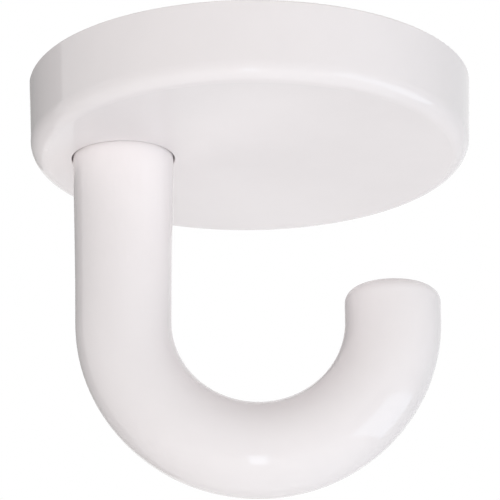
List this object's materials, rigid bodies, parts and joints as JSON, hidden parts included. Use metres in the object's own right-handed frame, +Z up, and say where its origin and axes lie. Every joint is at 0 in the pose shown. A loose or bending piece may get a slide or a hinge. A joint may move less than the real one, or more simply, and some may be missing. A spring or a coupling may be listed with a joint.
{
  "type": "towel hook",
  "caption": "Round-bar J hook in white moulded nylon, hanging off-centre from a round ceiling rosette that covers a screwed steel mounting plate.",
  "frame": {"origin": "centre of the ceiling face, where the plate and the rosette's rim meet the ceiling", "axes": "+Z up into the ceiling, +X from the shank towards the hook's free tip, the bar bending in the XZ plane"},
  "size_m": [0.09, 0.09, 0.0881],
  "materials": {
    "white_nylon_rosette": "glossy moulded polyamide",
    "white_nylon_hook": "glossy moulded polyamide",
    "zinc_plated_plate": "zinc-plated steel",
    "zinc_plated_screw": "zinc-plated steel",
    "brass_insert": "turned and knurled brass"
  },
  "bodies": {
    "root": {"rosette": "white_nylon_rosette", "hook": "white_nylon_hook", "mounting_plate": "zinc_plated_plate", "hook_screw": "zinc_plated_screw", "threaded_insert": "brass_insert"}
  },
  "joints": []
}
